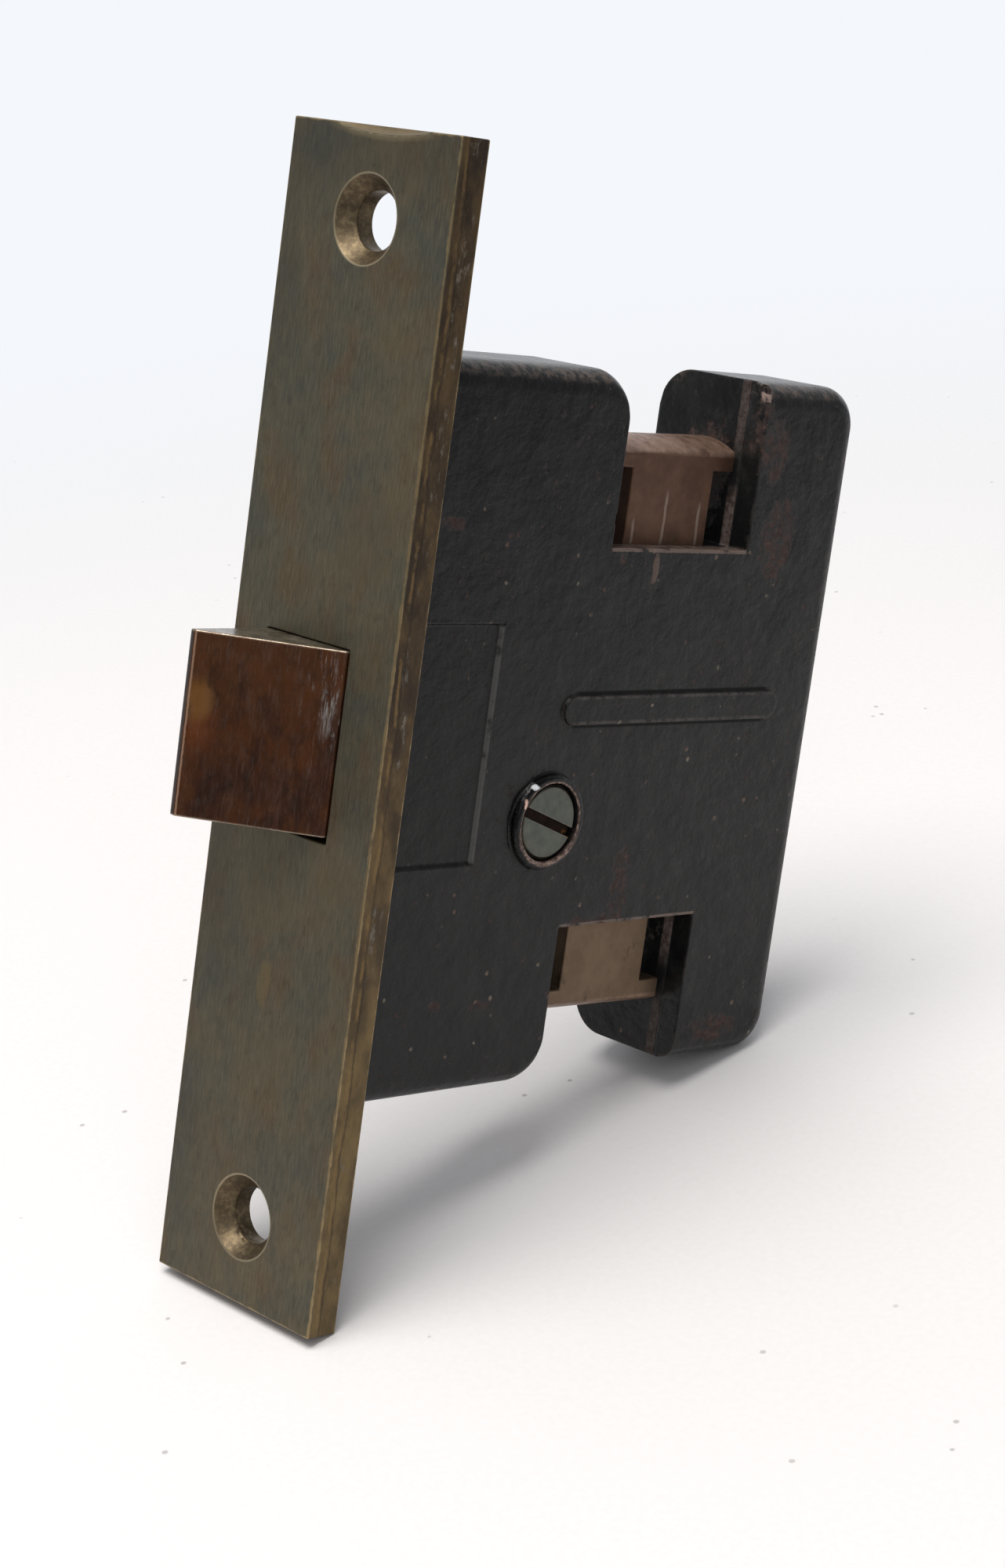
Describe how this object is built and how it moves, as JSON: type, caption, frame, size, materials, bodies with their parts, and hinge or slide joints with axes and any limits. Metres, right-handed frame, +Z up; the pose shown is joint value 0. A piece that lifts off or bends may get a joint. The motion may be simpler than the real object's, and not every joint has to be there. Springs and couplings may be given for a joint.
{
  "type": "mortise latch",
  "caption": "Cast-iron mortise latch with a bronze front, bevelled spring bolt and a vertical slide with tee ends that a thumb-piece lifts to draw the bolt.",
  "frame": {"origin": "middle of the front's back face, midway between its two fixing holes", "axes": "+X into the door, +Z up along the front, -Y towards the screwed cover and the bolt's bevel"},
  "size_m": [0.0864, 0.0254, 0.127],
  "materials": {
    "black_iron": "black enamel, semi-gloss, worn to rust at the edges",
    "front_bronze": "dark olive-brown tarnish over vertical brushing, bright worn edges",
    "bolt_bronze": "red-brown tarnish, polished copper edges",
    "slide_bronze": "as cast, brown tarnish, worn where it rubs",
    "cast_bronze": "as cast, oiled",
    "screw_steel": "dull grey steel with some rust",
    "spring_steel": "drawn wire, oiled"
  },
  "bodies": {
    "case": {"case_body": "black_iron", "case_cover": "black_iron", "cover_screw": "screw_steel", "cover_dowel_front": "screw_steel", "cover_dowel_rear": "screw_steel", "front": "front_bronze", "front_screw_upper": "screw_steel", "front_screw_lower": "screw_steel", "rocker_washer": "cast_bronze", "spring_seat": "screw_steel", "yoke_spring": "spring_steel"},
    "slide": {"thumb_slide": "slide_bronze"},
    "rocker_arm": {"rocker": "cast_bronze", "crank_pin": "screw_steel"},
    "yoke_frame": {"yoke": "cast_bronze", "spring_guide_pin": "screw_steel", "bolt_spring": "spring_steel"},
    "bolt": {"bolt_head": "bolt_bronze", "bolt_tail": "screw_steel", "tail_washer": "cast_bronze", "tail_nut": "screw_steel"}
  },
  "joints": [
    {"name": "slide_lift", "type": "slide", "parent": "case", "child": "slide", "axis": [0, 0, 1], "range_m": [0, 0.00635]},
    {"name": "rocker_turn", "type": "hinge", "parent": "case", "child": "rocker_arm", "pos_m": [0.0503, 0, 0], "axis": [0, 1, 0], "range_deg": [0, 44]},
    {"name": "yoke_back", "type": "slide", "parent": "case", "child": "yoke_frame", "axis": [1, 0, 0], "range_m": [0, 0.0108], "stiffness_N_per_m": 600, "springref_m": -0.015, "deforming": ["yoke_spring"]},
    {"name": "bolt_push", "type": "slide", "parent": "yoke_frame", "child": "bolt", "axis": [1, 0, 0], "range_m": [0, 0.0106], "stiffness_N_per_m": 250, "springref_m": -0.008, "deforming": ["bolt_spring"]}
  ],
  "couplings": [
    {"joint": "rocker_turn", "follows": "slide_lift", "rad_per_m": 120.4},
    {"joint": "yoke_back", "follows": "slide_lift", "ratio": 1.7}
  ]
}
